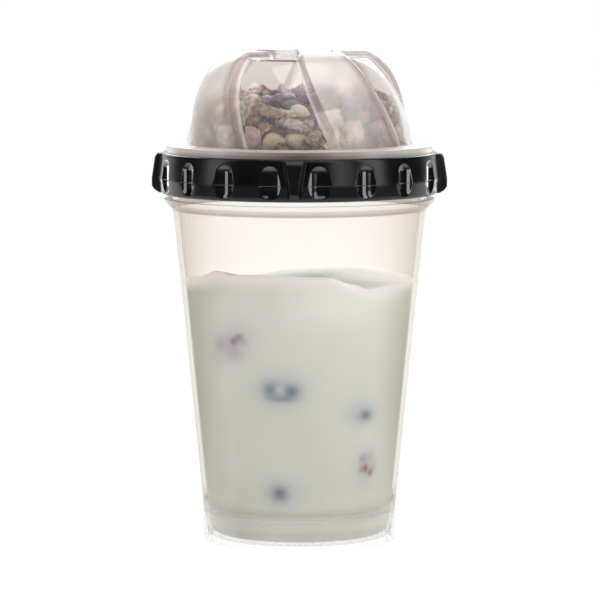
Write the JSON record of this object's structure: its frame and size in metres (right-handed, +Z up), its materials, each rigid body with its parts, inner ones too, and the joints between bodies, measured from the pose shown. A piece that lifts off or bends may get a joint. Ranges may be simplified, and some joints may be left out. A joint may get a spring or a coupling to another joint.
{
  "type": "yogurt cup with topping dome",
  "caption": "Reusable yogurt cup with a screw cap and a swirled dome that holds granola above the yogurt.",
  "frame": {"origin": "centre of the foot ring, on the surface the cup stands on", "axes": "+Z up along the cup's axis, front towards -Y"},
  "size_m": [0.102, 0.102, 0.1698],
  "materials": {
    "cup_plastic": "translucent milky polypropylene, satin gloss",
    "dome_plastic": "translucent smoky plastic, frosted panels and clearer channels",
    "cap_plastic": "black moulded plastic, semi-gloss",
    "yogurt": "creamy plain yogurt, smooth and slightly glossy",
    "granola": "toasted oat clusters, flakes, nuts and dried fruit, matte",
    "berry": "dark berries seen through yogurt, soft and matte"
  },
  "bodies": {
    "root": {"cup": "cup_plastic", "yogurt": "yogurt", "cap": "cap_plastic", "dome": "dome_plastic", "granola": "granola"}
  },
  "joints": []
}
